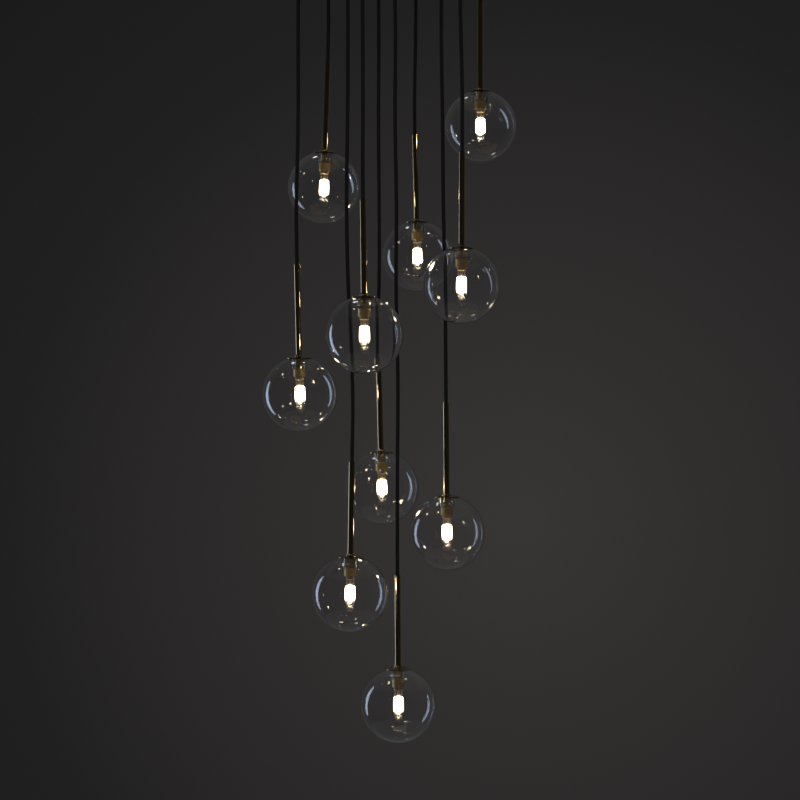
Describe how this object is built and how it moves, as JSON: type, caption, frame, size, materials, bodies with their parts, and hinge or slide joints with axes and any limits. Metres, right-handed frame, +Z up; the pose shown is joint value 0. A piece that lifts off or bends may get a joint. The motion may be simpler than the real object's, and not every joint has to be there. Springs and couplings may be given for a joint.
{
  "type": "cluster pendant light",
  "caption": "Cluster pendant: clear glass globes on brass stems with capsule bulbs, hung at stepped heights by black textile flexes from a round ceiling canopy.",
  "frame": {"origin": "on the ceiling at the middle of the canopy, where the ceiling plate is bolted up", "axes": "+Z up out of the ceiling plate, -Y towards the viewer, +X to the viewer's right"},
  "size_m": [0.4149, 0.432, 1.3248],
  "materials": {
    "flex": "woven",
    "brass": "polished",
    "canopy_brass": "satin",
    "ceramic": "glazed ceramic",
    "clear_glass": "clear",
    "bulb_glass": "clear, lit",
    "plate_steel": "zinc plated",
    "black_plastic": "matt",
    "white_plastic": "matt",
    "rubber": "matt"
  },
  "bodies": {
    "canopy": {"canopy_pan": "canopy_brass", "ceiling_plate": "plate_steel", "side_screws": "canopy_brass", "cord_grips": "black_plastic", "grip_nuts": "plate_steel", "flex_tails": "flex", "inlet_grommet": "rubber", "terminal_block": "white_plastic", "earth_tab": "plate_steel"},
    "pendant_01": {"cable_01": "flex", "fitting_01": "brass", "lampholder_01": "ceramic"},
    "shade_01": {"globe_01": "clear_glass"},
    "lamp_01": {"bulb_01": "bulb_glass"},
    "pendant_02": {"cable_02": "flex", "fitting_02": "brass", "lampholder_02": "ceramic"},
    "shade_02": {"globe_02": "clear_glass"},
    "lamp_02": {"bulb_02": "bulb_glass"},
    "pendant_03": {"cable_03": "flex", "fitting_03": "brass", "lampholder_03": "ceramic"},
    "shade_03": {"globe_03": "clear_glass"},
    "lamp_03": {"bulb_03": "bulb_glass"},
    "pendant_04": {"cable_04": "flex", "fitting_04": "brass", "lampholder_04": "ceramic"},
    "shade_04": {"globe_04": "clear_glass"},
    "lamp_04": {"bulb_04": "bulb_glass"},
    "pendant_05": {"cable_05": "flex", "fitting_05": "brass", "lampholder_05": "ceramic"},
    "shade_05": {"globe_05": "clear_glass"},
    "lamp_05": {"bulb_05": "bulb_glass"},
    "pendant_06": {"cable_06": "flex", "fitting_06": "brass", "lampholder_06": "ceramic"},
    "shade_06": {"globe_06": "clear_glass"},
    "lamp_06": {"bulb_06": "bulb_glass"},
    "pendant_07": {"cable_07": "flex", "fitting_07": "brass", "lampholder_07": "ceramic"},
    "shade_07": {"globe_07": "clear_glass"},
    "lamp_07": {"bulb_07": "bulb_glass"},
    "pendant_08": {"cable_08": "flex", "fitting_08": "brass", "lampholder_08": "ceramic"},
    "shade_08": {"globe_08": "clear_glass"},
    "lamp_08": {"bulb_08": "bulb_glass"},
    "pendant_09": {"cable_09": "flex", "fitting_09": "brass", "lampholder_09": "ceramic"},
    "shade_09": {"globe_09": "clear_glass"},
    "lamp_09": {"bulb_09": "bulb_glass"},
    "pendant_10": {"cable_10": "flex", "fitting_10": "brass", "lampholder_10": "ceramic"},
    "shade_10": {"globe_10": "clear_glass"},
    "lamp_10": {"bulb_10": "bulb_glass"}
  },
  "joints": [
    {"name": "swing_01", "type": "hinge", "parent": "canopy", "child": "pendant_01", "pos_m": [-0.1573, -0.05, -0.046], "axis": [-0.2588, 0.9659, 0], "range_deg": [-1.5, 10]},
    {"name": "globe_off_01", "type": "slide", "parent": "pendant_01", "child": "shade_01", "axis": [0.023, 0, -0.9997], "range_m": [0, 0.09]},
    {"name": "bulb_out_01", "type": "slide", "parent": "pendant_01", "child": "lamp_01", "axis": [0.023, 0, -0.9997], "range_m": [0, 0.02]},
    {"name": "swing_02", "type": "hinge", "parent": "canopy", "child": "pendant_02", "pos_m": [-0.1152, 0.085, -0.046], "axis": [0.866, 0.5, 0], "range_deg": [-3, 10]},
    {"name": "globe_off_02", "type": "slide", "parent": "pendant_02", "child": "shade_02", "axis": [-0.029, 0, -0.9996], "range_m": [0, 0.09]},
    {"name": "bulb_out_02", "type": "slide", "parent": "pendant_02", "child": "lamp_02", "axis": [-0.029, 0, -0.9996], "range_m": [0, 0.02]},
    {"name": "swing_03", "type": "hinge", "parent": "canopy", "child": "pendant_03", "pos_m": [-0.0781, -0.098, -0.046], "axis": [-0.342, 0.9397, 0], "range_deg": [-0.7, 10]},
    {"name": "globe_off_03", "type": "slide", "parent": "pendant_03", "child": "shade_03", "axis": [-0.0152, 0, -0.9999], "range_m": [0, 0.09]},
    {"name": "bulb_out_03", "type": "slide", "parent": "pendant_03", "child": "lamp_03", "axis": [-0.0152, 0, -0.9999], "range_m": [0, 0.02]},
    {"name": "swing_04", "type": "hinge", "parent": "canopy", "child": "pendant_04", "pos_m": [-0.0539, -0.162, -0.046], "axis": [-0.4226, 0.9063, 0], "range_deg": [-1.5, 10]},
    {"name": "globe_off_04", "type": "slide", "parent": "pendant_04", "child": "shade_04", "axis": [0.0113, 0, -0.9999], "range_m": [0, 0.09]},
    {"name": "bulb_out_04", "type": "slide", "parent": "pendant_04", "child": "lamp_04", "axis": [0.0113, 0, -0.9999], "range_m": [0, 0.02]},
    {"name": "swing_05", "type": "hinge", "parent": "canopy", "child": "pendant_05", "pos_m": [-0.0311, 0.015, -0.046], "axis": [0.5, -0.866, 0], "range_deg": [-1.5, 9]},
    {"name": "globe_off_05", "type": "slide", "parent": "pendant_05", "child": "shade_05", "axis": [0.0269, 0, -0.9996], "range_m": [0, 0.09]},
    {"name": "bulb_out_05", "type": "slide", "parent": "pendant_05", "child": "lamp_05", "axis": [0.0269, 0, -0.9996], "range_m": [0, 0.02]},
    {"name": "swing_06", "type": "hinge", "parent": "canopy", "child": "pendant_06", "pos_m": [-0.0049, -0.05, -0.046], "axis": [-0.9659, -0.2588, 0], "range_deg": [-0.15, 8]},
    {"name": "globe_off_06", "type": "slide", "parent": "pendant_06", "child": "shade_06", "axis": [0.0075, 0, -1], "range_m": [0, 0.09]},
    {"name": "bulb_out_06", "type": "slide", "parent": "pendant_06", "child": "lamp_06", "axis": [0.0075, 0, -1], "range_m": [0, 0.02]},
    {"name": "swing_07", "type": "hinge", "parent": "canopy", "child": "pendant_07", "pos_m": [0.0309, 0.15, -0.046], "axis": [0.9659, -0.2588, 0], "range_deg": [-5, 10]},
    {"name": "globe_off_07", "type": "slide", "parent": "pendant_07", "child": "shade_07", "axis": [0.022, 0, -0.9998], "range_m": [0, 0.09]},
    {"name": "bulb_out_07", "type": "slide", "parent": "pendant_07", "child": "lamp_07", "axis": [0.022, 0, -0.9998], "range_m": [0, 0.02]},
    {"name": "swing_08", "type": "hinge", "parent": "canopy", "child": "pendant_08", "pos_m": [0.0701, -0.05, -0.046], "axis": [0.5736, -0.8192, 0], "range_deg": [-0.6, 10]},
    {"name": "globe_off_08", "type": "slide", "parent": "pendant_08", "child": "shade_08", "axis": [0.0077, 0, -1], "range_m": [0, 0.09]},
    {"name": "bulb_out_08", "type": "slide", "parent": "pendant_08", "child": "lamp_08", "axis": [0.0077, 0, -1], "range_m": [0, 0.02]},
    {"name": "swing_09", "type": "hinge", "parent": "canopy", "child": "pendant_09", "pos_m": [0.0973, -0.115, -0.046], "axis": [0.342, -0.9397, 0], "range_deg": [-1.5, 10]},
    {"name": "globe_off_09", "type": "slide", "parent": "pendant_09", "child": "shade_09", "axis": [-0.0054, 0, -1], "range_m": [0, 0.09]},
    {"name": "bulb_out_09", "type": "slide", "parent": "pendant_09", "child": "lamp_09", "axis": [-0.0054, 0, -1], "range_m": [0, 0.02]},
    {"name": "swing_10", "type": "hinge", "parent": "canopy", "child": "pendant_10", "pos_m": [0.1378, 0.1, -0.046], "axis": [0.5, -0.866, 0], "range_deg": [-5, 10]},
    {"name": "globe_off_10", "type": "slide", "parent": "pendant_10", "child": "shade_10", "axis": [0.0016, 0, -1], "range_m": [0, 0.09]},
    {"name": "bulb_out_10", "type": "slide", "parent": "pendant_10", "child": "lamp_10", "axis": [0.0016, 0, -1], "range_m": [0, 0.02]}
  ]
}
